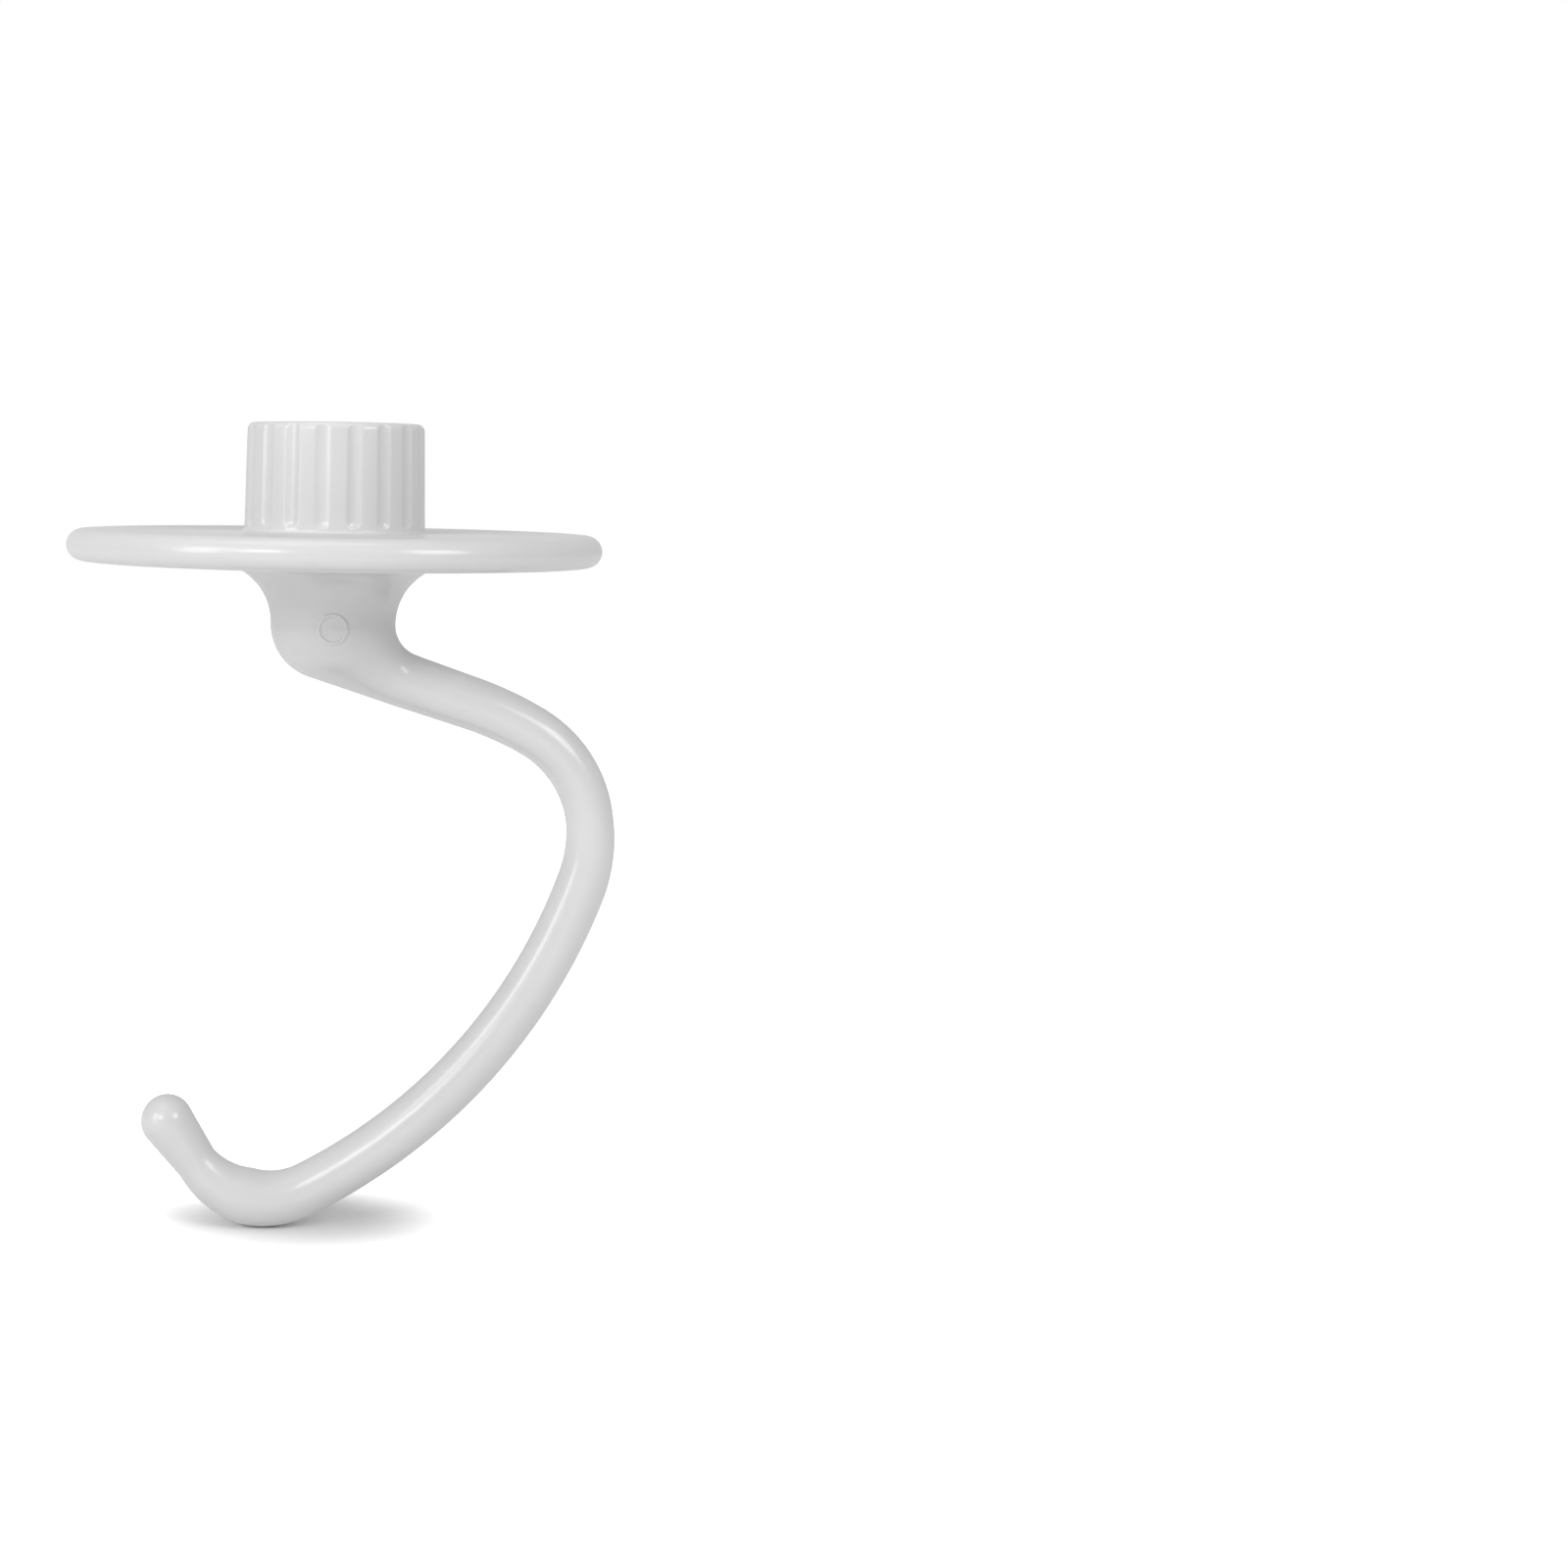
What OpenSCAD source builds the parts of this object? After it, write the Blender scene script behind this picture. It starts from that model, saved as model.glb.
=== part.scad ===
// Dough hook for a stand mixer: one die-cast body with a hard white coat.
// The origin is the centre of the hub's open end, on the axis of the bore.
// +Z is up along the bore, the hook hangs below in the XZ plane,
// and its arm leaves the neck towards +X.

/* [Hub] */
// Diameter of the hub where it meets the disc
hub_d = 37.1; // [34:0.1:44]
// Height of the hub above the disc
hub_h = 22.2; // [21:0.1:32]
// Lean of the hub's wall, in degrees, so that the casting leaves its mould
hub_draft = 0.9; // [0.2:0.1:1.5]
// Rounding of the hub's top edge
hub_edge_r = 1.5; // [0.5:0.1:2]
// Fillet between the hub and the disc
hub_fillet_r = 0.6; // [0.3:0.1:1]

/* [Flutes] */
// Number of grip flutes round the hub
flute_count = 18; // [10:1:20]
// Width of a flute at the hub's surface
flute_w = 3; // [2:0.1:4]
// Depth of a flute
flute_depth = 0.5; // [0.3:0.05:0.8]
// Height of the flutes' rounded feet above the disc
flute_foot_h = 0.9; // [0.8:0.1:3]
// Turn of the first flute from the front, in degrees
flute_turn = 12; // [0:1:20]

/* [Drive socket] */
// Diameter of the mixer's drive shaft
shaft_d = 12.7; // [10:0.1:14]
// Gap left round the shaft
shaft_gap = 0.25; // [0.1:0.05:0.4]
// Depth of the blind bore
bore_depth = 30; // [26:0.5:34]
// Countersink round the mouth of the bore
mouth_chamfer = 0.8; // [0.4:0.1:1.2]
// Width of the slot that the shaft's cross pin runs in
pin_slot_w = 6.4; // [5:0.1:7]
// How far the pin reaches out of the shaft
pin_reach = 5; // [4:0.1:6]
// Height of the closed rim above the window in the hub's wall
rim_h = 2.5; // [2:0.1:4]
// Depth of the pin's resting track below the hub's open end
track_depth = 17; // [14.5:0.5:19.5]
// Turn that locks the pin under its ledge, in degrees
lock_turn = 28; // [20:1:40]
// Extra room all round the pin at the end of its track
seat_play = 0.15; // [0.1:0.05:0.4]
// Turn of the keyway from the front, in degrees
slot_turn = 180; // [150:1:210]

/* [Disc] */
// Diameter of the disc that keeps dough off the shaft
disc_d = 109.5; // [90:0.5:130]
// Thickness of the disc, which is also the diameter of its round rim
disc_t = 6.4; // [3:0.1:7]

/* [Neck] */
// Diameter of the neck at its waist
neck_d = 25.7; // [23:0.1:30]
// Fillet from the underside of the disc down to the waist
neck_fillet_r = 12.5; // [8:0.5:16]
// Inner radius of the crook where the arm leaves the neck
crook_r = 6.5; // [5:0.5:10]
// Slope of the arm below the horizontal as it leaves the neck, in degrees
arm_slope = 18; // [12:0.1:30]

/* [Arm] */
// Length of the straight run after the neck
run_l = 13.5; // [8:0.5:24]
// Radius of the first, slow bend
lead_r = 70; // [40:1:100]
// Turn of the first bend, in degrees
lead_turn = 11.5; // [4:0.5:14]
// Radius of the elbow at the far side
elbow_r = 24; // [18:0.5:36]
// Turn of the elbow, in degrees
elbow_turn = 54; // [50:0.5:66]
// Radius of the bend below the elbow
side_r = 29.5; // [22:0.5:50]
// Turn of the bend below the elbow, in degrees
side_turn = 26.5; // [16:0.5:30]
// Radius of the long sweep back under the neck
sweep_r = 115; // [90:1:150]
// Turn of the long sweep, in degrees
sweep_turn = 43; // [34:0.5:48]
// Radius of the toe
toe_r = 17.5; // [14:0.5:26]
// Turn of the toe, in degrees
toe_turn = 80.5; // [60:0.5:95]
// Length of the straight run from the toe to the round tip
tip_l = 10.5; // [4:0.5:16]

/* [Arm thickness] */
// Thickness of the arm at its root
root_d = 11.4; // [9:0.1:13]
// Thickness at the end of the elbow
elbow_d = 9.9; // [8:0.1:13]
// Thickness at the end of the bend below the elbow
side_d = 10.6; // [8:0.1:13]
// Thickness at the end of the long sweep
sweep_d = 10.5; // [8:0.1:13]
// Thickness at the middle of the toe
toe_d = 11.5; // [8:0.1:13]
// Thickness where the toe ends
leg_d = 8.8; // [8:0.1:13]
// Diameter of the ball tip
tip_d = 10.9; // [8:0.1:13]

/* [Casting mark] */
// Outer diameter of the ring that a mould pin left on the neck
ring_d = 6.3; // [5:0.1:9]
// Width of the ring's ridge
ring_w = 0.6; // [0.5:0.1:1.2]
// Height of the ridge above the neck
ring_h = 0.25; // [0.15:0.05:0.4]
// Drop of the ring's centre below the neck's waist
ring_drop = 0.4; // [-2:0.1:2]

/* [Hidden] */
$fn = 96;

// Overlap that makes cuts run past a face and solids run into each other
eps = 1;
// Directions, in degrees: the front in the XY plane, and straight down in the XZ plane
front = -90;
down = -90;
// How deep the casting ring is rooted in the neck
ring_root = 3;
// Gap that keeps the arm's first section just inside the round neck
seat_gap = 0.02;

hub_r = hub_d / 2;
hub_top_r = hub_r - hub_h * tan(hub_draft);
disc_r = disc_d / 2;
disc_top = -hub_h;
disc_under = disc_top - disc_t;
neck_r = neck_d / 2;
waist_z = disc_under - neck_fillet_r;
ring_z = waist_z - ring_drop;
bore_r = shaft_d / 2 + shaft_gap;
pin_r = bore_r + pin_reach;

// Circle that gives a flute its width and depth
flute_r = (pow(flute_w / 2, 2) + pow(flute_depth, 2)) / (2 * flute_depth);

// Sides of the arm's section, and steps along each stretch
sides = 36;
crook_steps = 14;
run_steps = 3;
bend_step = 4.5;
sweep_step = 2.5;
ball_steps = 7;
ring_steps = 4;
// Last ring of the ball tip, in degrees from its widest ring
ball_end = 86;

// Directions in the XZ plane: along a heading, and square to it on the upper side
function along(a) = [cos(a), sin(a)];
function upper(a) = [-sin(a), cos(a)];
function ease(t) = t * t * (3 - 2 * t);
function mix(a, b, t) = a + (b - a) * t;

// Crook: two rails, both starting straight down at the waist and ending along the arm.
// The upper rail is one arc. The lower rail is an arc for the heel and then a line.
root_heading = -arm_slope;
crook_turn = root_heading - down;
crook_c = [neck_r - seat_gap + crook_r, waist_z];
crook_end = crook_c - crook_r * upper(root_heading);
root_low = crook_end - root_d * upper(root_heading);
heel_x = seat_gap - neck_r;
heel_corner_z = root_low[1] + (root_low[0] - heel_x) * tan(arm_slope);
heel_tangent = waist_z - heel_corner_z;
heel_r = heel_tangent / tan(crook_turn / 2);
heel_c = [heel_x + heel_r, waist_z];
heel_end = heel_c - heel_r * upper(root_heading);
heel_arc_l = heel_r * crook_turn * PI / 180;
heel_line_l = norm(root_low - heel_end);
heel_l = heel_arc_l + heel_line_l;

function on_upper_rail(t) = crook_c - crook_r * upper(down + crook_turn * t);
function on_lower_rail(t) =
    let(l = heel_l * t)
    l < heel_arc_l
        ? heel_c - heel_r * upper(down + crook_turn * l / heel_arc_l)
        : heel_end + (l - heel_arc_l) * along(root_heading);

// A rib is one section of the arm: its lower and upper points and its depth along Y
function crook_rib(t, grow) =
    let(low = on_lower_rail(t), high = on_upper_rail(t), out = (high - low) / norm(high - low))
    [low - grow * out, high + grow * out, mix(neck_d, root_d, ease(t)) + 2 * grow];
function round_rib(p, a, d) = [p - upper(a) * d / 2, p + upper(a) * d / 2, d];

// Arm: each stretch starts where the one before it ends, and turns clockwise
function bend_point(p, a, r, turn) = p - r * upper(a) + r * upper(a - turn);
function arc_l(r, turn) = r * turn * PI / 180;

p0 = (crook_end + root_low) / 2;
p1 = p0 + run_l * along(root_heading);
a1 = root_heading;
p2 = bend_point(p1, a1, lead_r, lead_turn);
a2 = a1 - lead_turn;
p3 = bend_point(p2, a2, elbow_r, elbow_turn);
a3 = a2 - elbow_turn;
p4 = bend_point(p3, a3, side_r, side_turn);
a4 = a3 - side_turn;
p5 = bend_point(p4, a4, sweep_r, sweep_turn);
a5 = a4 - sweep_turn;
p6 = bend_point(p5, a5, toe_r, toe_turn);
a6 = a5 - toe_turn;
p7 = p6 + tip_l * along(a6);

// Distance along the arm at the end of each stretch
l1 = run_l;
l2 = l1 + arc_l(lead_r, lead_turn);
l3 = l2 + arc_l(elbow_r, elbow_turn);
l4 = l3 + arc_l(side_r, side_turn);
l5 = l4 + arc_l(sweep_r, sweep_turn);
l6 = l5 + arc_l(toe_r, toe_turn);
l7 = l6 + tip_l;

function thickness(l) = lookup(l, [
    [0, root_d], [l3, elbow_d], [l4, side_d], [l5, sweep_d],
    [(l5 + l6) / 2, toe_d], [l6, leg_d], [l7, tip_d]
]);

function run_ribs(p, a, l, start_l) = [
    for (i = [1 : run_steps])
        let(s = l * i / run_steps)
        round_rib(p + s * along(a), a, thickness(start_l + s))
];
function bend_ribs(p, a, r, turn, step, start_l) =
    let(n = ceil(turn / step))
    [
        for (i = [1 : n])
            let(t = turn * i / n)
            round_rib(bend_point(p, a, r, t), a - t, thickness(start_l + arc_l(r, t)))
    ];
function ball_ribs(p, a, d) = [
    for (i = [1 : ball_steps])
        let(t = ball_end * i / ball_steps)
        round_rib(p + d / 2 * sin(t) * along(a), a, d * cos(t))
];

function crook_ribs(grow) = [for (i = [1 : crook_steps]) crook_rib(i / crook_steps, grow)];
arm_ribs = concat(
    run_ribs(p0, a1, run_l, 0),
    bend_ribs(p1, a1, lead_r, lead_turn, bend_step, l1),
    bend_ribs(p2, a2, elbow_r, elbow_turn, bend_step, l2),
    bend_ribs(p3, a3, side_r, side_turn, bend_step, l3),
    bend_ribs(p4, a4, sweep_r, sweep_turn, sweep_step, l4),
    bend_ribs(p5, a5, toe_r, toe_turn, bend_step, l5),
    run_ribs(p6, a6, tip_l, l6),
    ball_ribs(p7, a6, tip_d)
);

// Round sections of the neck: its own surface at a height, and a stub just inside the waist
function neck_r_at(z) = neck_r + neck_fillet_r - sqrt(pow(neck_fillet_r, 2) - pow(z - waist_z, 2));
function level_rib(z, r) = [[-r, z], [r, z], 2 * r];
function neck_rib(z, grow) = level_rib(z, neck_r_at(z) + grow);
stub_rib = level_rib(waist_z + eps, neck_r - seat_gap);

// Solid skin over a list of ribs, each an ellipse of the same number of points
module loft(ribs) {
    n = len(ribs);
    points = [
        for (rib = ribs)
            let(c = (rib[0] + rib[1]) / 2, u = (rib[1] - rib[0]) / 2)
            for (k = [0 : sides - 1])
                let(t = 360 * k / sides, q = c + u * cos(t))
                [q[0], -rib[2] / 2 * sin(t), q[1]]
    ];
    skin = [
        for (i = [0 : n - 2], k = [0 : sides - 1])
            let(a = i * sides + k, b = i * sides + (k + 1) % sides)
            each [[a, a + sides, b], [b, a + sides, b + sides]]
    ];
    first = [for (k = [0 : sides - 1]) k];
    last = [for (k = [sides - 1 : -1 : 0]) (n - 1) * sides + k];
    polyhedron(points, concat([first], skin, [last]));
}

// Half outline of the hub: a leaning wall with a round top edge
module hub_outline() {
    c = [hub_top_r + hub_edge_r * tan(hub_draft) - hub_edge_r / cos(hub_draft), -hub_edge_r];
    wall = c + hub_edge_r * along(hub_draft);
    polygon([[0, disc_top - eps], [hub_r, disc_top - eps], [hub_r, disc_top], wall, [c[0], 0], [0, 0]]);
    translate(c)
        circle(hub_edge_r);
}

// Half outline of the fillet between the hub and the disc
module hub_fillet_outline() {
    c = [hub_r + hub_fillet_r / cos(hub_draft) - hub_fillet_r * tan(hub_draft), disc_top + hub_fillet_r];
    wall = c - hub_fillet_r * along(hub_draft);
    difference() {
        polygon([
            [hub_r - eps, disc_top - eps], [c[0], disc_top - eps], [c[0], disc_top],
            wall, [hub_r - eps, wall[1]]
        ]);
        translate(c)
            circle(hub_fillet_r);
    }
}

// Half outline of the disc, with a fully round rim
module disc_outline() {
    translate([0, disc_under])
        square([disc_r - disc_t / 2, disc_t]);
    translate([disc_r - disc_t / 2, disc_under + disc_t / 2])
        circle(disc_t / 2);
}

// Half outline of the neck, one big fillet from the disc down to the waist
module neck_outline() {
    difference() {
        translate([0, waist_z])
            square([neck_r + neck_fillet_r, neck_fillet_r + eps]);
        translate([neck_r + neck_fillet_r, waist_z])
            circle(neck_fillet_r);
    }
}

// One flute: a round groove, open at the top, with a ball-shaped foot.
// It leans with the hub's wall, so that it's equally deep all the way up.
module flute() {
    foot_z = disc_top + flute_foot_h + flute_w / 2;
    wall_r = hub_r - (foot_z - disc_top) * tan(hub_draft);
    translate([wall_r + flute_r - flute_depth, 0, foot_z])
        rotate([0, -hub_draft, 0]) {
            cylinder(r = flute_r, h = hub_h);
            sphere(r = flute_r);
        }
}

module flutes() {
    for (i = [0 : flute_count - 1])
        rotate(front + flute_turn + i * 360 / flute_count)
            flute();
}

// Blind bore for the shaft, with a countersunk mouth
module bore() {
    translate([0, 0, -bore_depth])
        cylinder(r = bore_r, h = bore_depth + eps);
    translate([0, 0, -mouth_chamfer])
        cylinder(r1 = bore_r, r2 = bore_r + mouth_chamfer + eps, h = mouth_chamfer + eps);
}

// Path of the cross pin: down the keyway in the rim, through the window behind it,
// then round under the ledge to its seat. The window runs out through the hub's wall.
module pin_path() {
    slot_r = pin_slot_w / 2;
    seat_z = -track_depth + slot_r;
    leg_z = -rim_h - slot_r;
    out = hub_r + eps;
    rotate(front + slot_turn) {
        translate([0, -slot_r, seat_z])
            cube([pin_r, pin_slot_w, eps - seat_z]);
        translate([0, -slot_r, seat_z])
            cube([out, pin_slot_w, leg_z - seat_z]);
        for (z = [leg_z, seat_z])
            translate([0, 0, z])
                rotate([0, 90, 0])
                    cylinder(r = slot_r, h = out);
        rotate(lock_turn)
            translate([0, 0, seat_z])
                rotate([0, 90, 0])
                    cylinder(r = slot_r + seat_play, h = out);
        translate([0, 0, seat_z - slot_r])
            rotate_extrude(angle = lock_turn)
                square([out, pin_slot_w]);
    }
}

// Raised ring on the front of the neck, which follows the neck's surface
module casting_ring() {
    reach = ring_root + neck_fillet_r;
    top_z = ring_z + ring_d / 2 + eps;
    neck_ribs = [for (i = [ring_steps : -1 : 1]) neck_rib(mix(waist_z, top_z, i / ring_steps), ring_h)];
    intersection() {
        translate([0, ring_root - neck_r, ring_z])
            rotate([90, 0, 0])
                difference() {
                    cylinder(d = ring_d, h = reach);
                    translate([0, 0, -eps])
                        cylinder(d = ring_d - 2 * ring_w, h = reach + 2 * eps);
                }
        loft(concat(neck_ribs, crook_ribs(ring_h)));
    }
}

// Hub, disc and the top of the neck, turned in one piece, with the drive socket cut in
module socketed_body() {
    difference() {
        rotate_extrude() {
            hub_outline();
            hub_fillet_outline();
            disc_outline();
            neck_outline();
        }
        union() {
            bore();
            pin_path();
        }
    }
}

module dough_hook() {
    color("gainsboro") {
        difference() {
            socketed_body();
            flutes();
        }
        loft(concat([stub_rib], crook_ribs(0), arm_ribs));
        casting_ring();
    }
}

dough_hook();
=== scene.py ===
"""Looks of the dough hook: one cast body with a hard, glossy white coat, on a pale floor.

Lengths of the body are in millimetres, in the part's own frame, until the mesh is made. The floor, the
camera and the lamps are in metres.
"""

import math

import bpy
import mathutils
import numpy as np
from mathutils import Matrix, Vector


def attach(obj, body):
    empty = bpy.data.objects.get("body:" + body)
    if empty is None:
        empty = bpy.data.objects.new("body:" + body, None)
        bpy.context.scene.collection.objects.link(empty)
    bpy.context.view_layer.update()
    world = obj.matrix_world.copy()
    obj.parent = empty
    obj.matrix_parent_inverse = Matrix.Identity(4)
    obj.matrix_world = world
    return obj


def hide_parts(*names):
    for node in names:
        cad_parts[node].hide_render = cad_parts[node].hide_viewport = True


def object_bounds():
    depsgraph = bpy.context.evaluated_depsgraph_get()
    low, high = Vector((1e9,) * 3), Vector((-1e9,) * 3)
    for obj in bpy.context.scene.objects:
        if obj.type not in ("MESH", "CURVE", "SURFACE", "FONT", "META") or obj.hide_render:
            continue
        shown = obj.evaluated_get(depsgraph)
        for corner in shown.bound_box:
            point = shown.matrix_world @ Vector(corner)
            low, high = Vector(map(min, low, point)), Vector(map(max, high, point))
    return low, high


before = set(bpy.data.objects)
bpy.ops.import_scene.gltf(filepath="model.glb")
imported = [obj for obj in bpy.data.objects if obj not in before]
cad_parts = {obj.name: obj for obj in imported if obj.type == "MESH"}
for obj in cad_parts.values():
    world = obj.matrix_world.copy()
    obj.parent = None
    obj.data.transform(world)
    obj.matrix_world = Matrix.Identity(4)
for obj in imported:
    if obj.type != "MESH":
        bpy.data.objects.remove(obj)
cad_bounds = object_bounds()

MM = 0.001

# Hub
HUB_D, HUB_H, HUB_DRAFT, HUB_EDGE_R, HUB_FILLET_R = 37.1, 22.2, 0.9, 1.5, 0.6
FLUTES, FLUTE_W, FLUTE_DEPTH, FLUTE_FOOT_H, FLUTE_TURN = 18, 3.0, 0.5, 0.9, 12.0
# How far the coat softens the flutes' edges
FLUTE_SOFT = 0.16

# Drive socket
BORE_R, BORE_DEPTH, MOUTH_CHAMFER = 6.6, 30.0, 0.8
SLOT_R, PIN_R, RIM_H, TRACK_DEPTH, LOCK_TURN, SEAT_PLAY = 3.2, 11.6, 2.5, 17.0, 28.0, 0.15

# Disc and neck
DISC_D, DISC_T = 109.5, 6.4
NECK_D, NECK_FILLET_R, CROOK_R, ARM_SLOPE = 25.7, 12.5, 6.5, 18.0

# Arm: radius and turn of each bend, with the straight runs before and after them
RUN_L, TIP_L = 13.5, 10.5
BENDS = ((70.0, 11.5), (24.0, 54.0), (29.5, 26.5), (115.0, 43.0), (17.5, 80.5))
ROOT_D, ELBOW_D, SIDE_D, SWEEP_D = 11.4, 9.9, 10.6, 10.5
TOE_D, LEG_D, TIP_D = 11.5, 8.8, 10.9
# The skin lies this far inside the solid's size, so that round sections stay within it
SKIN = 0.05

# Ring that a mould pin left
RING_D, RING_W, RING_H, RING_DROP = 6.3, 0.6, 0.25, 0.4
# Its section, in shares of its width: how far from its middle the flank ends, and how wide the flank is
RING_REACH, RING_FLANK = 0.64, 0.28

# Points round each part of the mesh, and how far they gather towards the front round the neck
HUB_SIDES, BODY_SIDES, ARM_SIDES = 576, 288, 144
FOCUS = 0.75
# Rows of the mesh: the plain step, the fine step near the mould pin's ring, and the step along the arm
ROW, FINE_ROW, ARM_ROW = 0.6, 0.13, 1.6
# Length of the fine rows above the hub's foot, where the flutes end
FOOT_FINE = 2.9
# Shading goes sharp where faces meet at more than this many degrees
SHARP_DEG = 35
# How far the socket's cutters reach past the surfaces that they open
OVERCUT = 1.0

DISC_TOP = -HUB_H
DISC_UNDER = DISC_TOP - DISC_T
WAIST_Z = DISC_UNDER - NECK_FILLET_R
NECK_R = NECK_D / 2
RING_Z = WAIST_Z - RING_DROP
DRAFT = math.radians(HUB_DRAFT)

# Linear base colour of the coat where it is lightest and darkest, and of the floor
COAT_LIGHT, COAT_DARK = 0.72, 0.69
FLOOR_TONE = 0.90
# Half the floor's side, and its gap below the hook
FLOOR_HALF, FLOOR_GAP = 3.0, 0.0002
# Middle of the contact shadow, and the factors that measure its oval, where less than 1 makes it longer.
# Then how far from there a painted glow on the floor starts and ends rising to full white, and the glow
# added in the middle.
# This painted glow washes out the floor's real shadows outside the oval, so the oval sets how far the
# shadow shows.
FLOOR_SPOT, FLOOR_OVAL = (-0.005, 0.005, 0.0), (0.7, 1.0, 0.0)
FLOOR_GLOW_FADE = (0.008, 0.034)
FLOOR_CORE_GLOW = 0.05

# Camera: straight in front, a little below the hub's top. The picture is PHOTO_PX wide, with PX metres a
# pixel at the hook. The frame's origin is seen at ORIGIN_PX, and the picture is rolled about that point.
PHOTO_PX, PX = 1600, 0.0002011
ORIGIN_PX = (343.0, 432.1)
CAMERA_D, CAMERA_Z, SENSOR, ROLL_DEG = 0.5, -0.0108, 36.0, 0.9

# Lamps: name, place, aim, size in metres, watts
LAMPS = (
    ("key_left", (-0.80, -0.52, 0.24), (0.0, 0.0, -0.09), (0.30, 0.50), 2.7),
    ("front_left", (-0.46, -0.78, 0.30), (0.0, 0.0, -0.09), (0.28, 0.28), 1.9),
    ("key_right", (0.62, -0.62, 0.40), (0.0, 0.0, -0.09), (0.36, 0.36), 2.8),
    ("overhead", (-0.14, -0.10, 0.84), (0.0, 0.0, -0.14), (0.60, 0.60), 1.8),
)
SKY_LIGHT = 0.31


# ---- Body: its outline, rail by rail ----


def arc(cx, cz, r, start, end, n):
    """Points of an arc in the outline's (radius, height) plane, in degrees."""
    t = np.radians(np.linspace(start, end, n))
    return list(zip(cx + r * np.cos(t), cz + r * np.sin(t)))


def hub_outline():
    """Outline of the hub from its flat top down to the start of its foot's fillet."""
    top_r = HUB_D / 2 - HUB_H * math.tan(DRAFT)
    cx = top_r + HUB_EDGE_R * math.tan(DRAFT) - HUB_EDGE_R / math.cos(DRAFT)
    edge = arc(cx, -HUB_EDGE_R, HUB_EDGE_R, 90, HUB_DRAFT, 11)
    fx = HUB_D / 2 + HUB_FILLET_R / math.cos(DRAFT) - HUB_FILLET_R * math.tan(DRAFT)
    fz = DISC_TOP + HUB_FILLET_R
    foot = arc(fx, fz, HUB_FILLET_R, 180 + HUB_DRAFT, 270, 8)
    upper_z = edge[-1][1]
    lower_z = foot[0][1]
    fine = np.linspace(lower_z + FOOT_FINE, lower_z, 19)
    coarse = np.linspace(upper_z, fine[0], 8)[1:-1]
    wall = [(HUB_D / 2 - (z - DISC_TOP) * math.tan(DRAFT), z) for z in [*coarse, *fine[:-1]]]
    return edge + wall + foot


def disc_outline():
    """Outline of the disc from the hub's foot out to the round rim and back to the neck."""
    rim_x = DISC_D / 2 - SKIN - DISC_T / 2
    start = HUB_D / 2 + HUB_FILLET_R
    top = [(x, DISC_TOP) for x in np.linspace(start + 0.5, rim_x, 9)[:-1]]
    rim = arc(rim_x, DISC_TOP - DISC_T / 2, DISC_T / 2, 90, -90, 17)
    under = [(x, DISC_UNDER) for x in np.linspace(rim_x, NECK_R + NECK_FILLET_R, 8)[1:-1]]
    return top + rim + under


def neck_outline():
    """Outline of the neck's big fillet, from the disc down to the waist, with fine rows at the ring."""
    fine_from = 180 - math.degrees(math.asin((RING_Z + RING_D / 2 + RING_W - WAIST_Z) / NECK_FILLET_R))
    coarse = round(math.radians(fine_from - 90) * NECK_FILLET_R / ROW)
    fine = round(math.radians(180 - fine_from) * NECK_FILLET_R / FINE_ROW)
    centre = (NECK_R + NECK_FILLET_R, WAIST_Z, NECK_FILLET_R)
    return arc(*centre, 90, fine_from, coarse + 1)[:-1] + arc(*centre, fine_from, 180, fine + 1)


# ---- Arm: its ribs, each a lower point, an upper point and a depth ----


def along(a):
    """Direction in the hook's plane, a degrees up from +X."""
    return np.array([math.cos(math.radians(a)), math.sin(math.radians(a))])


def upper(a):
    """Direction square to along(a), on its upper side."""
    return np.array([-math.sin(math.radians(a)), math.cos(math.radians(a))])


def ease(t):
    """A share from 0 to 1 with soft ends."""
    return t * t * (3 - 2 * t)


def crook_rails():
    """The two rails of the crook, as functions of t from 0 at the waist to 1 at the arm's root."""
    root, turn = -ARM_SLOPE, 90 - ARM_SLOPE
    centre = np.array([NECK_R + CROOK_R, WAIST_Z])
    low_end = centre - CROOK_R * upper(root) - ROOT_D * upper(root)
    corner_z = low_end[1] + (low_end[0] + NECK_R) * math.tan(math.radians(ARM_SLOPE))
    heel_r = (WAIST_Z - corner_z) / math.tan(math.radians(turn / 2))
    heel = np.array([heel_r - NECK_R, WAIST_Z])
    heel_end = heel - heel_r * upper(root)
    arc_l = heel_r * math.radians(turn)
    whole_l = arc_l + np.linalg.norm(low_end - heel_end)

    def high(t):
        return centre - CROOK_R * upper(-90 + turn * t)

    def low(t):
        reach = whole_l * t
        if reach < arc_l:
            return heel - heel_r * upper(-90 + turn * reach / arc_l)
        return heel_end + (reach - arc_l) * along(root)

    return low, high


def crook_steps():
    """Steps of t down the crook, in fine rows as long as the ring reaches."""
    low, high = crook_rails()
    steps, t, gap = [], 0.0, 0.001
    while t < 1:
        here, there = (low(t) + high(t)) / 2, (low(t + gap) + high(t + gap)) / 2
        row = FINE_ROW if here[1] > RING_Z - RING_D / 2 - 2 * RING_W else ROW
        t += row * gap / np.linalg.norm(there - here)
        steps.append(t)
    return [t / steps[-1] for t in steps]


def crook_ribs():
    """Ribs of the crook, whose depth eases from the neck's to the arm's."""
    low, high = crook_rails()
    return [(low(t), high(t), NECK_D + (ROOT_D - NECK_D) * ease(t)) for t in crook_steps()]


def thickness(reach, ends):
    """Diameter of the arm at a length along it, where ends lists how far each stretch goes."""
    places = [0, ends[2], ends[3], ends[4], (ends[4] + ends[5]) / 2, ends[5], ends[6]]
    sizes = [ROOT_D, ELBOW_D, SIDE_D, SWEEP_D, TOE_D, LEG_D, TIP_D]
    return float(np.interp(reach, places, sizes)) - 2 * SKIN


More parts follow.
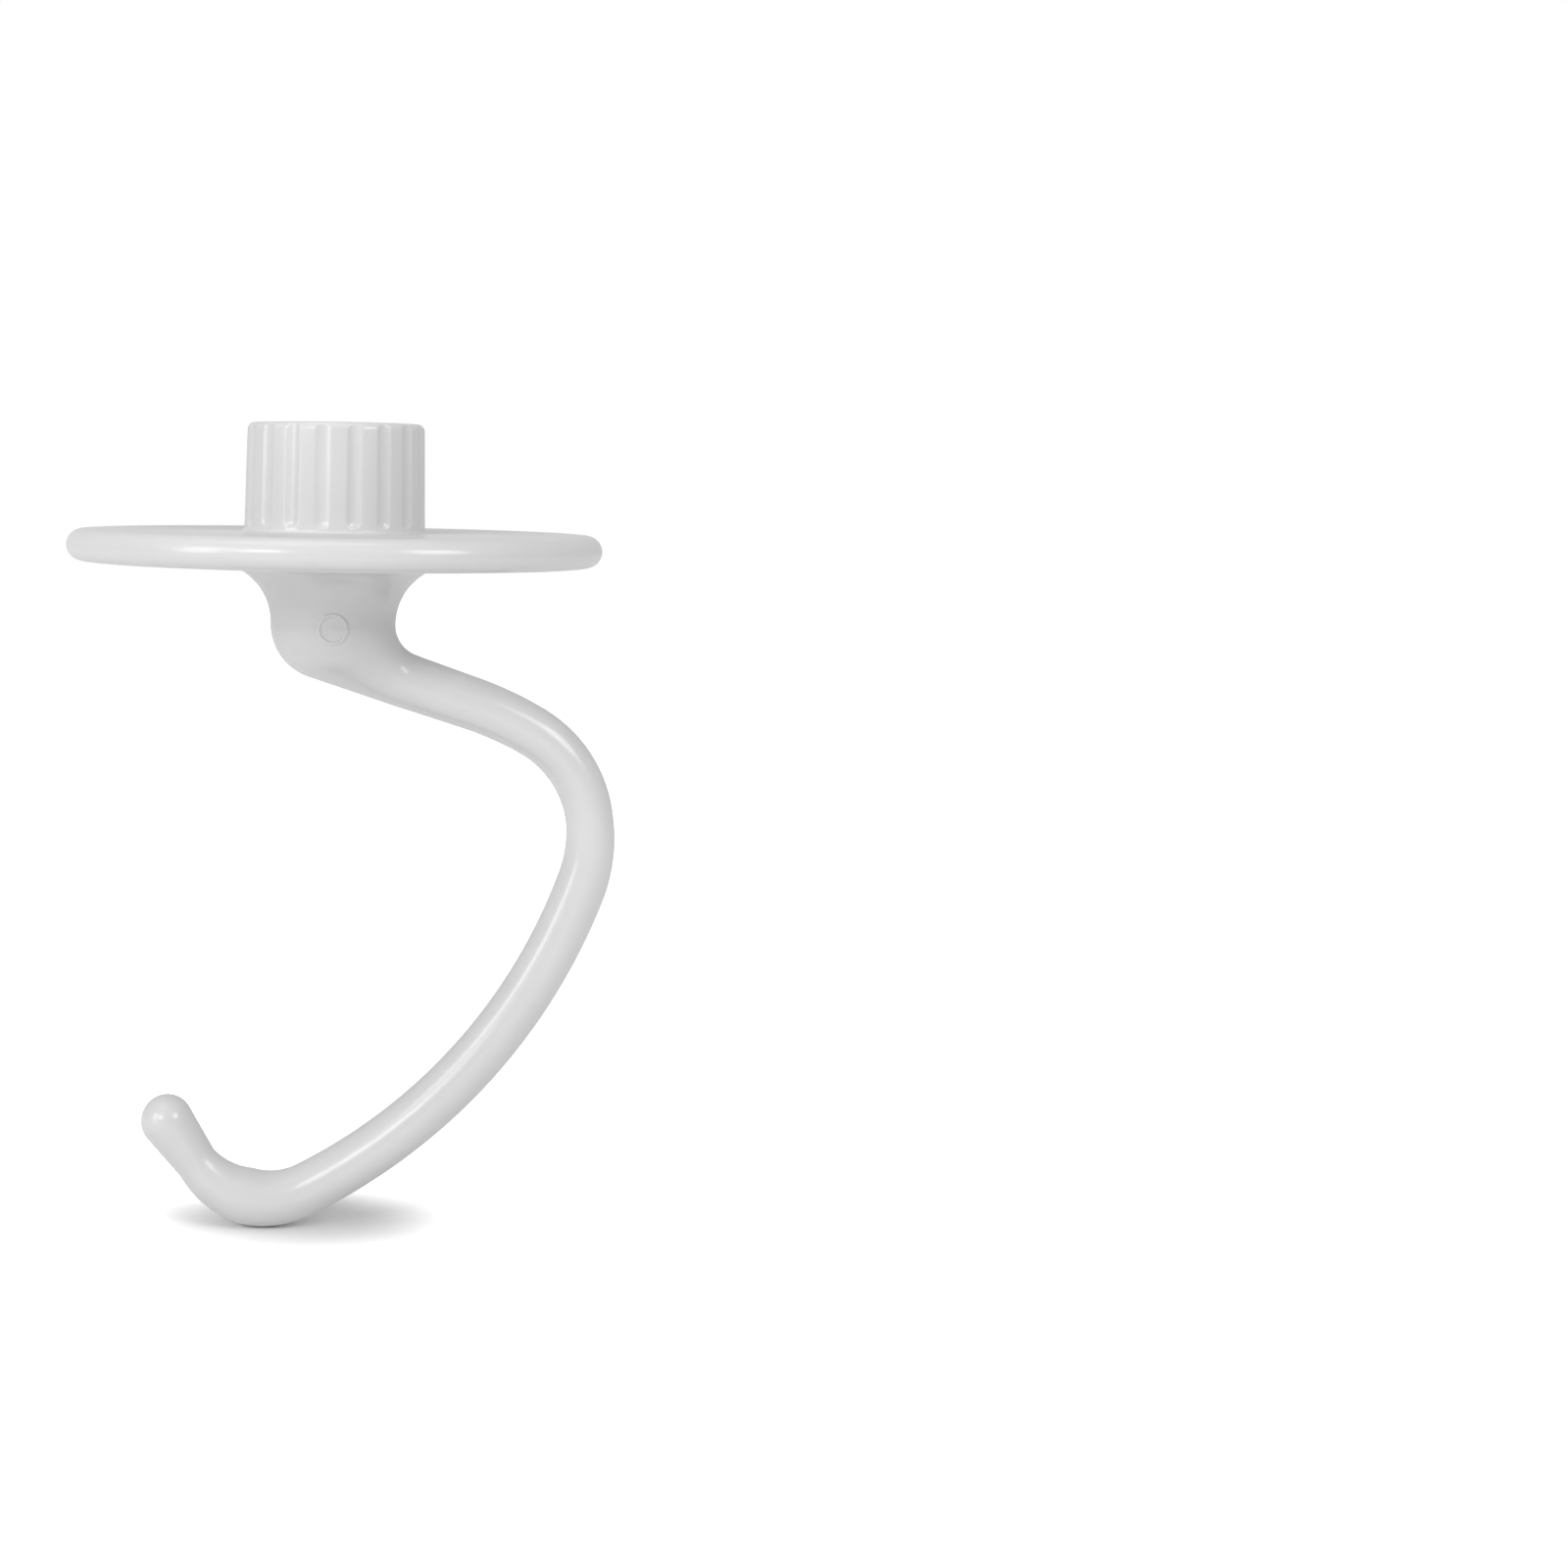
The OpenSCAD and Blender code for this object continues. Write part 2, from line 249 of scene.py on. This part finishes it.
def arm_ribs(step):
    """Ribs of the arm from its root to the last ring of the ball, about step apart."""
    low, high = crook_rails()
    place, heading = (low(1.0) + high(1.0)) / 2, -ARM_SLOPE
    stretches = [(None, RUN_L), *BENDS, (None, TIP_L)]
    lengths = [turn if r is None else r * math.radians(turn) for r, turn in stretches]
    ends = np.cumsum(lengths)
    start, ribs = 0.0, []
    for (r, turn), length in zip(stretches, lengths):
        n = math.ceil(length / step)
        for i in range(1, n + 1):
            f = i / n
            if r is None:
                p, a = place + length * f * along(heading), heading
            else:
                a = heading - turn * f
                p = place - r * upper(heading) + r * upper(a)
            d = thickness(start + length * f, ends)
            ribs.append((p - upper(a) * d / 2, p + upper(a) * d / 2, d))
        place, heading, start = p, a, start + length
    for t in np.radians(np.linspace(0, 89, 17)[1:]):
        p = place + d / 2 * math.sin(t) * along(heading)
        w = d * math.cos(t)
        ribs.append((p - upper(heading) * w / 2, p + upper(heading) * w / 2, w))
    return ribs


# ---- Rings of points ----


def turns(sides, focus=0.0):
    """Angles of a ring's points, which gather towards the front as focus nears 1."""
    t = np.linspace(0, 2 * math.pi, sides, endpoint=False)
    return t + focus * np.cos(t)


def turned_ring(r, z, sides, focus=0.0):
    """A level ring. It starts near +X and runs by way of the front."""
    t = turns(sides, focus)
    return np.stack([r * np.cos(t), -r * np.sin(t), np.full(sides, z)], axis=1)


def rib_ring(rib, sides, focus=0.0):
    """The elliptic ring of a rib. It starts at the upper rail and runs by way of the front."""
    low, high, depth = rib
    t = turns(sides, focus)
    c, u = (low + high) / 2, (high - low) / 2
    x, z = c[0] + u[0] * np.cos(t), c[1] + u[1] * np.cos(t)
    return np.stack([x, -depth / 2 * np.sin(t), z], axis=1)


def soft_min(a, b, k):
    """The smaller of two values, with the corner between them rounded over k."""
    h = np.clip(0.5 + 0.5 * (b - a) / k, 0, 1)
    return b + (a - b) * h - k * h * (1 - h)


def fluted(ring):
    """A ring of the hub, cut back where the flutes run."""
    x, y, z = ring.T
    r, a = np.hypot(x, y), np.degrees(np.arctan2(y, x))
    pitch = 360 / FLUTES
    off = (a + 90 - FLUTE_TURN + pitch / 2) % pitch - pitch / 2
    cut_r = ((FLUTE_W / 2) ** 2 + FLUTE_DEPTH**2) / (2 * FLUTE_DEPTH)
    foot_z = DISC_TOP + FLUTE_FOOT_H + FLUTE_W / 2
    wall_r = HUB_D / 2 - (z - DISC_TOP) * math.tan(DRAFT)
    side = r * np.sin(np.radians(off))
    below = np.minimum(z - foot_z, 0)
    left = cut_r**2 - side**2 - below**2
    groove = wall_r + cut_r - FLUTE_DEPTH - np.sqrt(np.maximum(left, 0))
    groove = np.where(left > 0, groove, wall_r + cut_r)
    new_r = soft_min(r, groove, FLUTE_SOFT)
    return np.stack([x * new_r / r, y * new_r / r, z], axis=1)


def ring_lift(points):
    """How far the mould pin's ring lifts each point off the neck, for points on the front."""
    d = np.hypot(points[:, 0], points[:, 2] - RING_Z)
    mid = RING_D / 2 - RING_W / 2
    bump = np.clip((RING_REACH - np.abs(d - mid) / RING_W) / RING_FLANK, 0, 1)
    return np.where(points[:, 1] < 0, RING_H * ease(bump), 0)


def ringed(ring):
    """A ring of the neck or the crook, with the mould pin's mark raised on its front."""
    moved = ring.copy()
    moved[:, 1] -= ring_lift(ring)
    return moved


def body_rings():
    """All rings of the body, from the hub's top down the outside to the ball's end."""
    hub = [fluted(turned_ring(r, z, HUB_SIDES)) for r, z in hub_outline()]
    outline = disc_outline()
    rise = np.linspace(0, FOCUS, len(outline))
    disc = [turned_ring(r, z, BODY_SIDES, f) for (r, z), f in zip(outline, rise)]
    neck = [ringed(turned_ring(r, z, BODY_SIDES, FOCUS)) for r, z in neck_outline()]
    ribs = crook_ribs()
    fall = FOCUS * (1 - ease(np.clip(np.linspace(-1, 1, len(ribs)), 0, 1)))
    crook = [ringed(rib_ring(rib, BODY_SIDES, f)) for rib, f in zip(ribs, fall)]
    arm = [rib_ring(rib, ARM_SIDES) for rib in arm_ribs(ARM_ROW)]
    return hub + disc + neck + crook + arm


# ---- Mesh ----


def skin_between(a, b, na, nb):
    """Faces between two rings that start at vertices a and b. b has as many points, or half as many."""
    if na == nb:
        return [(a + k, a + (k + 1) % na, b + (k + 1) % nb, b + k) for k in range(na)]
    faces = []
    for k in range(nb):
        one, two, three = a + 2 * k, a + 2 * k + 1, a + (2 * k + 2) % na
        here, there = b + k, b + (k + 1) % nb
        faces += [(one, two, here), (two, three, there, here)]
    return faces


def body_mesh():
    """One closed skin over all the rings."""
    rings = body_rings()
    starts = np.cumsum([0] + [len(ring) for ring in rings])
    points = np.concatenate(rings)
    faces = []
    for i in range(len(rings) - 1):
        faces += skin_between(int(starts[i]), int(starts[i + 1]), len(rings[i]), len(rings[i + 1]))
    top, tip = len(points), len(points) + 1
    caps = np.array([rings[0].mean(axis=0), rings[-1].mean(axis=0)])
    points = np.concatenate([points, caps])
    n, last, m = len(rings[0]), int(starts[-2]), len(rings[-1])
    faces += [(top, (k + 1) % n, k) for k in range(n)]
    faces += [(tip, last + k, last + (k + 1) % m) for k in range(m)]
    mesh = bpy.data.meshes.new("hook_body")
    mesh.from_pydata((points * MM).tolist(), [], faces)
    mesh.validate()
    mesh.update()
    return mesh


def new_object(name, mesh):
    obj = bpy.data.objects.new(name, mesh)
    bpy.context.scene.collection.objects.link(obj)
    return obj


# ---- Socket: the cutter that opens the hub ----


def cylinder(name, radius, depth, centre, axis_turn=None, sides=96, top_radius=None):
    """A closed cone or cylinder, upright, or lying along a direction given in degrees."""
    top_radius = radius if top_radius is None else top_radius
    t = np.linspace(0, 2 * math.pi, sides, endpoint=False)
    low = np.stack([radius * np.cos(t), radius * np.sin(t), np.zeros(sides)], axis=1)
    high = np.stack([top_radius * np.cos(t), top_radius * np.sin(t), np.full(sides, depth)], axis=1)
    points = np.concatenate([low, high])
    if axis_turn is not None:
        a = math.radians(axis_turn)
        across = np.array([-math.sin(a), math.cos(a), 0])
        out = np.array([math.cos(a), math.sin(a), 0])
        points = points[:, :1] * across + points[:, 1:2] * np.array([0, 0, 1]) + points[:, 2:] * out
    points = points + np.array(centre)
    faces = [(k, (k + 1) % sides, sides + (k + 1) % sides, sides + k) for k in range(sides)]
    faces += [tuple(range(sides - 1, -1, -1)), tuple(range(sides, 2 * sides))]
    mesh = bpy.data.meshes.new(name)
    mesh.from_pydata((points * MM).tolist(), [], faces)
    mesh.update()
    return new_object(name, mesh)


def prism(name, outline, low_z, high_z):
    """An upright prism over a closed outline of (x, y) points, counterclockwise."""
    n = len(outline)
    points = [(x, y, low_z) for x, y in outline] + [(x, y, high_z) for x, y in outline]
    faces = [(k, (k + 1) % n, n + (k + 1) % n, n + k) for k in range(n)]
    faces += [tuple(range(n - 1, -1, -1)), tuple(range(n, 2 * n))]
    mesh = bpy.data.meshes.new(name)
    mesh.from_pydata((np.array(points) * MM).tolist(), [], faces)
    mesh.update()
    return new_object(name, mesh)


def sector(radius, start, end, steps=24):
    """Outline of a pie slice, in degrees."""
    t = np.radians(np.linspace(start, end, steps))
    return [(0.0, 0.0)] + [(radius * math.cos(a), radius * math.sin(a)) for a in t]


def socket_cutters():
    """The bore and its mouth, the keyway, the window, and the pin's track with its seat."""
    seat_z, leg_z = -TRACK_DEPTH + SLOT_R, -RIM_H - SLOT_R
    out = HUB_D / 2 + OVERCUT
    bore = cylinder("cut_bore", BORE_R, BORE_DEPTH + OVERCUT, (0, 0, -BORE_DEPTH))
    flare = MOUTH_CHAMFER + OVERCUT
    mouth = cylinder("cut_mouth", BORE_R, flare, (0, 0, -MOUTH_CHAMFER), top_radius=BORE_R + flare)
    keyway = [(-SLOT_R, 0), (SLOT_R, 0), (SLOT_R, PIN_R), (-SLOT_R, PIN_R)]
    window = [(-SLOT_R, 0), (SLOT_R, 0), (SLOT_R, out), (-SLOT_R, out)]
    return [
        bore,
        mouth,
        prism("cut_keyway", keyway, seat_z, OVERCUT),
        prism("cut_window", window, seat_z, leg_z),
        cylinder("cut_leg_top", SLOT_R, out, (0, 0, leg_z), 90),
        cylinder("cut_leg_foot", SLOT_R, out, (0, 0, seat_z), 90),
        cylinder("cut_seat", SLOT_R + SEAT_PLAY, out, (0, 0, seat_z), 90 + LOCK_TURN),
        prism("cut_track", sector(out, 90, 90 + LOCK_TURN), seat_z - SLOT_R, seat_z + SLOT_R),
    ]


def cut(obj, cutters):
    """Takes the cutters out of obj, one after the other, and removes them."""
    for cutter in cutters:
        mod = obj.modifiers.new(cutter.name, "BOOLEAN")
        mod.operation, mod.solver, mod.object = "DIFFERENCE", "EXACT", cutter
    graph = bpy.context.evaluated_depsgraph_get()
    done = bpy.data.meshes.new_from_object(obj.evaluated_get(graph))
    obj.modifiers.clear()
    obj.data = done
    for cutter in cutters:
        bpy.data.objects.remove(cutter)


def shade(mesh, sharp_deg):
    """Smooth shading, with an edge left sharp where the faces meet at more than sharp_deg."""
    mesh.polygons.foreach_set("use_smooth", [True] * len(mesh.polygons))
    mesh.set_sharp_from_angle(angle=math.radians(sharp_deg))


# ---- Materials ----


def node(tree, kind, place, **values):
    made = tree.nodes.new(kind)
    made.location = place
    for key, value in values.items():
        setattr(made, key, value)
    return made


def new_material(name):
    mat = bpy.data.materials.new(name)
    mat.use_nodes = True
    mat.node_tree.nodes.clear()
    return mat, mat.node_tree


def noise(tree, coords, scale, detail, place):
    made = node(tree, "ShaderNodeTexNoise", place)
    made.inputs["Scale"].default_value = scale
    made.inputs["Detail"].default_value = detail
    tree.links.new(coords.outputs["Object"], made.inputs["Vector"])
    return made


def ranged(tree, source, low, high, place, start=0.3, end=0.7):
    made = node(tree, "ShaderNodeMapRange", place)
    for key, value in (("From Min", start), ("From Max", end), ("To Min", low), ("To Max", high)):
        made.inputs[key].default_value = value
    tree.links.new(source, made.inputs["Value"])
    return made


def coat_material():
    """Hard white coat over a casting: faint orange peel, a slow waviness and a little change of tone."""
    mat, tree = new_material("hook_coat")
    coords = node(tree, "ShaderNodeTexCoord", (-1100, 0))
    cloud = noise(tree, coords, 38.0, 3.0, (-900, 300))
    peel = noise(tree, coords, 900.0, 2.0, (-900, -100))
    wave = noise(tree, coords, 120.0, 2.0, (-900, -350))
    speck = noise(tree, coords, 2400.0, 1.0, (-900, -600))

    tone = node(tree, "ShaderNodeMix", (-450, 300), data_type="RGBA")
    tone.inputs[6].default_value = (*[COAT_DARK] * 3, 1)
    tone.inputs[7].default_value = (*[COAT_LIGHT] * 3, 1)
    share = ranged(tree, cloud.outputs["Fac"], 0.0, 1.0, (-650, 300))
    tree.links.new(share.outputs["Result"], tone.inputs[0])

    # Only the coat layer reflects, and no more than its weight, or rims would fade into the background
    rough = ranged(tree, wave.outputs["Fac"], 0.19, 0.24, (-650, 50))
    shine = node(tree, "ShaderNodeBsdfPrincipled", (-100, 100))
    shine.inputs["Specular IOR Level"].default_value = 0.0
    shine.inputs["Roughness"].default_value = 0.5
    shine.inputs["Coat Weight"].default_value = 0.30
    shine.inputs["Coat IOR"].default_value = 2.1
    tree.links.new(tone.outputs[2], shine.inputs["Base Color"])
    tree.links.new(rough.outputs["Result"], shine.inputs["Coat Roughness"])

    last = None
    for source, strength, distance, y in (
        (wave, 0.12, 0.00010, -300),
        (peel, 0.10, 0.00002, -450),
        (speck, 0.05, 0.00001, -600),
    ):
        bump = node(tree, "ShaderNodeBump", (-400, y))
        bump.inputs["Strength"].default_value = strength
        bump.inputs["Distance"].default_value = distance
        tree.links.new(source.outputs["Fac"], bump.inputs["Height"])
        if last:
            tree.links.new(last.outputs["Normal"], bump.inputs["Normal"])
        last = bump
    tree.links.new(last.outputs["Normal"], shine.inputs["Normal"])
    tree.links.new(last.outputs["Normal"], shine.inputs["Coat Normal"])

    out = node(tree, "ShaderNodeOutputMaterial", (250, 100))
    tree.links.new(shine.outputs["BSDF"], out.inputs["Surface"])
    return mat


def floor_material():
    """Matt paper with a painted glow that only the camera and reflections see. The glow is faint in an
    oval round the contact, so the shadow shows there, and rises to plain white farther out, where it
    washes the shadows out.
    """
    mat, tree = new_material("floor_paper_and_glow")
    coords = node(tree, "ShaderNodeTexCoord", (-1100, 0))
    grain = noise(tree, coords, 700.0, 3.0, (-700, 200))
    tone = node(tree, "ShaderNodeMix", (-300, 200), data_type="RGBA")
    tone.inputs[6].default_value = (*[FLOOR_TONE - 0.01] * 3, 1)
    tone.inputs[7].default_value = (*[FLOOR_TONE] * 3, 1)
    tree.links.new(grain.outputs["Fac"], tone.inputs[0])
    matt = node(tree, "ShaderNodeBsdfDiffuse", (-50, 200))
    tree.links.new(tone.outputs[2], matt.inputs["Color"])

    # Oval of the painted glow, measured from the middle of the contact shadow
    off = node(tree, "ShaderNodeVectorMath", (-1000, -200), operation="SUBTRACT")
    off.inputs[1].default_value = FLOOR_SPOT
    tree.links.new(coords.outputs["Object"], off.inputs[0])
    oval = node(tree, "ShaderNodeVectorMath", (-900, -200), operation="MULTIPLY")
    oval.inputs[1].default_value = FLOOR_OVAL
    tree.links.new(off.outputs["Vector"], oval.inputs[0])
    away = node(tree, "ShaderNodeVectorMath", (-800, -200), operation="LENGTH")
    tree.links.new(oval.outputs["Vector"], away.inputs[0])
    fade = ranged(tree, away.outputs["Value"], FLOOR_CORE_GLOW, 1.0, (-700, -200), *FLOOR_GLOW_FADE)
    fade.interpolation_type = "SMOOTHSTEP"
    path = node(tree, "ShaderNodeLightPath", (-900, -500))
    seen = node(tree, "ShaderNodeMath", (-700, -450), operation="MAXIMUM")
    tree.links.new(path.outputs["Is Camera Ray"], seen.inputs[0])
    tree.links.new(path.outputs["Is Glossy Ray"], seen.inputs[1])
    either = node(tree, "ShaderNodeMath", (-500, -450), operation="MAXIMUM")
    tree.links.new(seen.outputs["Value"], either.inputs[0])
    tree.links.new(path.outputs["Is Transmission Ray"], either.inputs[1])
    share = node(tree, "ShaderNodeMath", (-300, -300), operation="MULTIPLY")
    tree.links.new(fade.outputs["Result"], share.inputs[0])
    tree.links.new(either.outputs["Value"], share.inputs[1])

    # Painted glow: white emission seen only by camera, glossy and transmission rays, faint in the oval
    # and full outside it, so shadows outside the oval are washed out
    white = node(tree, "ShaderNodeEmission", (-50, 0))
    white.inputs["Color"].default_value = (1, 1, 1, 1)
    tree.links.new(share.outputs["Value"], white.inputs["Strength"])
    mix = node(tree, "ShaderNodeAddShader", (200, 100))
    tree.links.new(matt.outputs["BSDF"], mix.inputs[0])
    tree.links.new(white.outputs["Emission"], mix.inputs[1])
    out = node(tree, "ShaderNodeOutputMaterial", (450, 100))
    tree.links.new(mix.outputs["Shader"], out.inputs["Surface"])
    return mat


# ---- Stage ----


def set_camera():
    """The camera faces +Y, and its shift puts the frame's origin at ORIGIN_PX."""
    cam = bpy.data.cameras.new("camera")
    cam.sensor_width = SENSOR
    cam.lens = SENSOR * CAMERA_D / (PHOTO_PX * PX)
    drop, roll = -CAMERA_Z / PX, math.radians(ROLL_DEG)
    axis = (ORIGIN_PX[0] - drop * math.sin(roll), ORIGIN_PX[1] + drop * math.cos(roll))
    cam.shift_x = 0.5 - axis[0] / PHOTO_PX
    cam.shift_y = axis[1] / PHOTO_PX - 0.5
    cam.clip_start, cam.clip_end = 0.01, 20
    obj = bpy.data.objects.new("camera", cam)
    obj.location = (0, -CAMERA_D, CAMERA_Z)
    obj.rotation_euler = (math.radians(90), math.radians(-ROLL_DEG), 0)
    bpy.context.scene.collection.objects.link(obj)
    bpy.context.scene.camera = obj


def aimed(obj, place, aim):
    """Turns obj at its place so that it faces aim."""
    obj.location = place
    way = mathutils.Vector(aim) - mathutils.Vector(place)
    obj.rotation_euler = way.to_track_quat("-Z", "Y").to_euler()


def set_lamps():
    for name, place, aim, size, watts in LAMPS:
        lamp = bpy.data.lights.new(name, "AREA")
        lamp.shape, lamp.size, lamp.size_y, lamp.energy = "RECTANGLE", size[0], size[1], watts
        obj = bpy.data.objects.new(name, lamp)
        bpy.context.scene.collection.objects.link(obj)
        aimed(obj, place, aim)


def set_world():
    """White where the camera looks past the object, and a softer white as light."""
    world = bpy.data.worlds.new("world")
    bpy.context.scene.world = world
    world.use_nodes = True
    tree = world.node_tree
    tree.nodes.clear()
    path = node(tree, "ShaderNodeLightPath", (-600, 200))
    light = node(tree, "ShaderNodeBackground", (-300, 0))
    light.inputs["Color"].default_value = (1, 1, 1, 1)
    light.inputs["Strength"].default_value = SKY_LIGHT
    seen = node(tree, "ShaderNodeBackground", (-300, -200))
    seen.inputs["Color"].default_value = (1, 1, 1, 1)
    seen.inputs["Strength"].default_value = 1.0
    mix = node(tree, "ShaderNodeMixShader", (0, 0))
    out = node(tree, "ShaderNodeOutputWorld", (250, 0))
    seen_by = path.outputs["Is Camera Ray"]
    for i, kind in enumerate(("Is Glossy Ray", "Is Transmission Ray")):
        either = node(tree, "ShaderNodeMath", (-400 + 150 * i, 300), operation="MAXIMUM")
        tree.links.new(seen_by, either.inputs[0])
        tree.links.new(path.outputs[kind], either.inputs[1])
        seen_by = either.outputs["Value"]
    tree.links.new(seen_by, mix.inputs["Fac"])
    tree.links.new(light.outputs["Background"], mix.inputs[1])
    tree.links.new(seen.outputs["Background"], mix.inputs[2])
    tree.links.new(mix.outputs["Shader"], out.inputs["Surface"])


def make_floor():
    """A floor just under the hook's lowest point."""
    z = cad_bounds[0][2] - FLOOR_GAP
    s = FLOOR_HALF
    mesh = bpy.data.meshes.new("floor")
    mesh.from_pydata([(-s, -s, z), (s, -s, z), (s, s, z), (-s, s, z)], [], [(0, 1, 2, 3)])
    mesh.update()
    floor = new_object("floor", mesh)
    floor.data.materials.append(floor_material())


def make_hook():
    """The dressed body, which stands in for the CAD node."""
    hook = new_object("hook_body", body_mesh())
    cut(hook, socket_cutters())
    shade(hook.data, SHARP_DEG)
    hook.data.materials.clear()
    hook.data.materials.append(coat_material())
    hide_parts("dough_hook")
    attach(hook, "root")


set_camera()
make_hook()
make_floor()
set_lamps()
set_world()
scene = bpy.context.scene
scene.view_settings.view_transform = "Standard"
